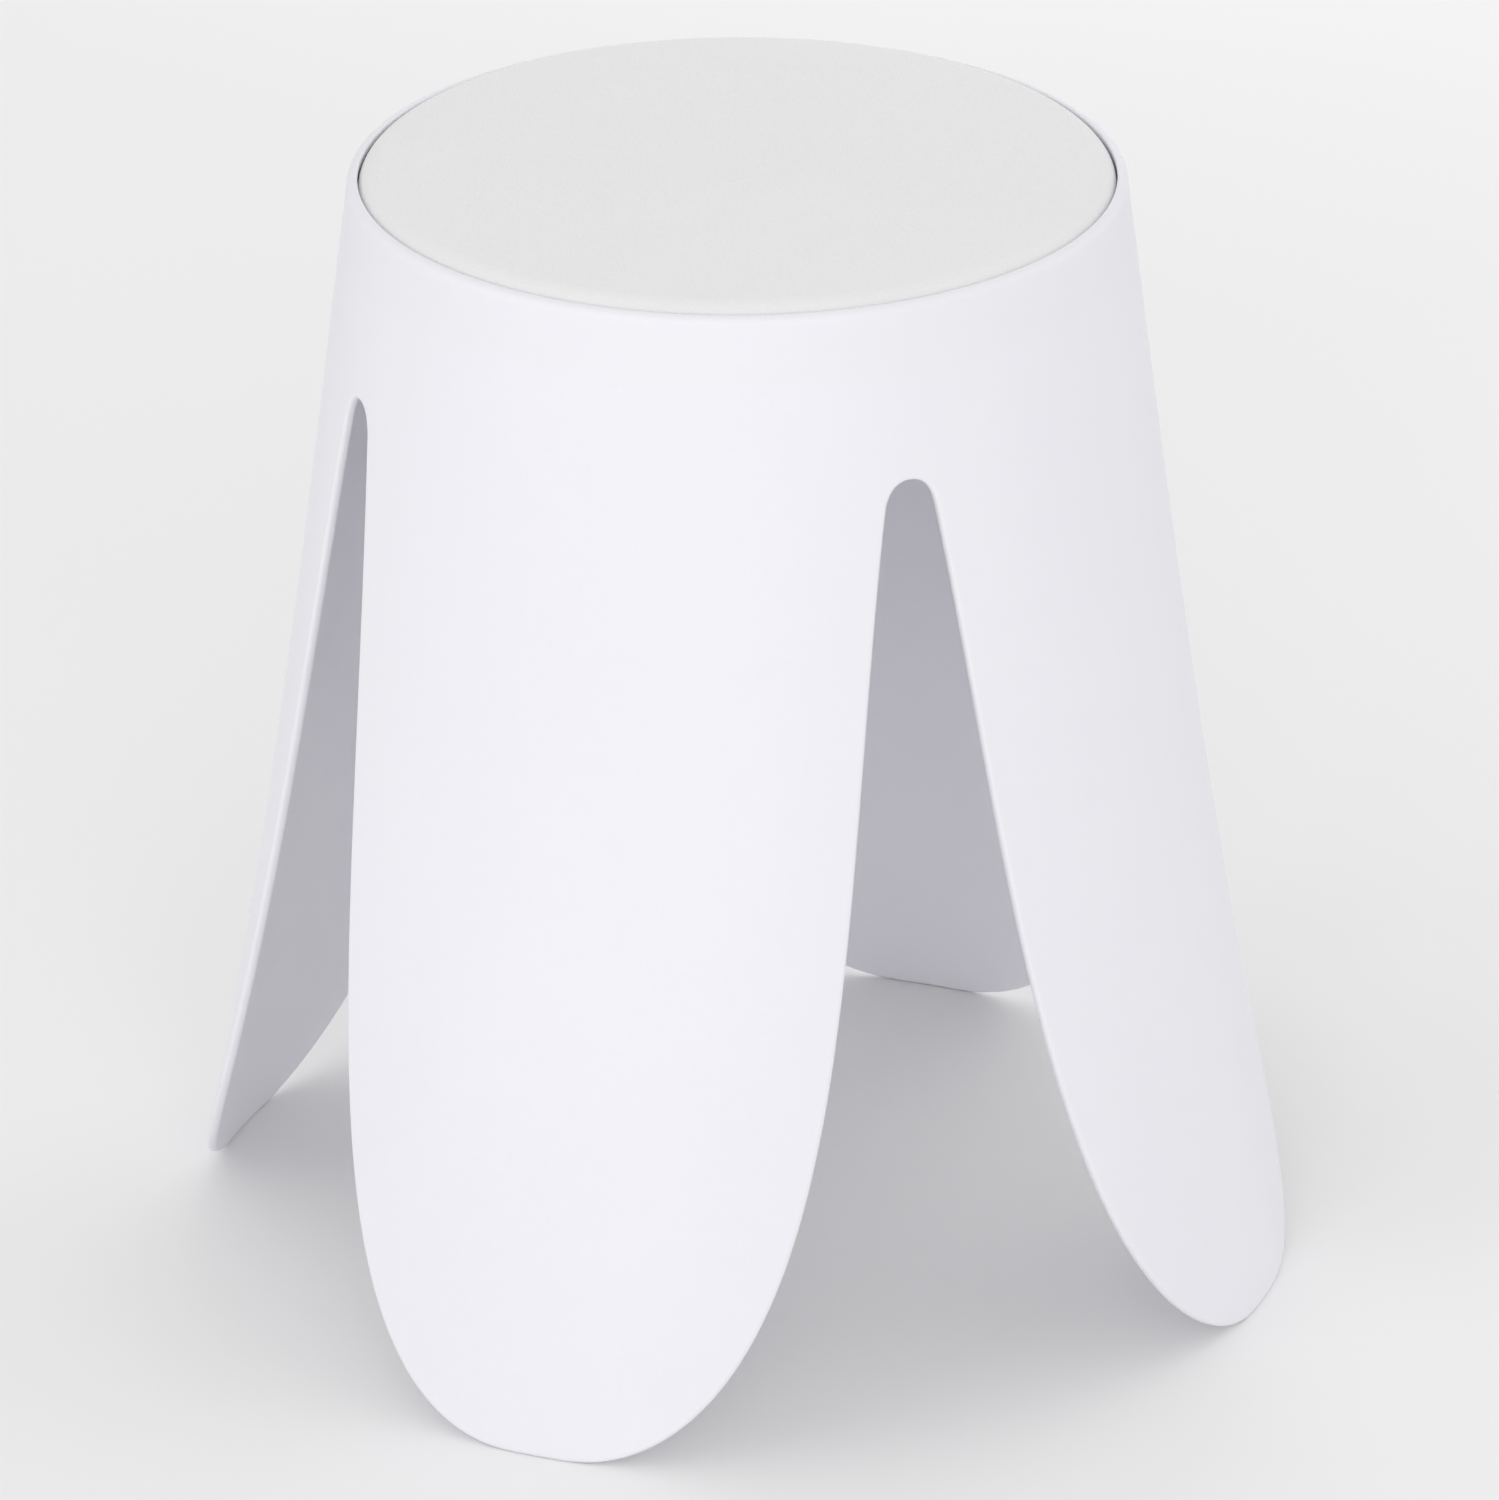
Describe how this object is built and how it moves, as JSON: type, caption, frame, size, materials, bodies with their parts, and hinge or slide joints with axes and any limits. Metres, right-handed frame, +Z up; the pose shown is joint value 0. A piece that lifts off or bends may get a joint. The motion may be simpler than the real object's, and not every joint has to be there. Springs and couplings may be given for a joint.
{
  "type": "stool",
  "caption": "Round stool for a bathroom: one moulded plastic body with petal-shaped legs and a flush padded seat held by screws from below.",
  "frame": {"origin": "on the floor, under the middle of the seat", "axes": "+Z up through the middle of the seat; the slots between the legs face -Y, +X, +Y and -X, and the legs stand on the diagonals"},
  "size_m": [0.3984, 0.3984, 0.467],
  "materials": {
    "shell_plastic": "matte",
    "seat_leather": "satin",
    "foam": "matte",
    "board_wood": "matte",
    "staple_steel": "satin",
    "nut_steel": "satin",
    "screw_steel": "satin"
  },
  "bodies": {
    "root": {"body_shell": "shell_plastic", "seat_cover": "seat_leather", "seat_foam": "foam", "seat_board": "board_wood", "cover_staples": "staple_steel", "seat_nuts": "nut_steel", "seat_screws": "screw_steel", "screw_washers": "screw_steel"}
  },
  "joints": []
}
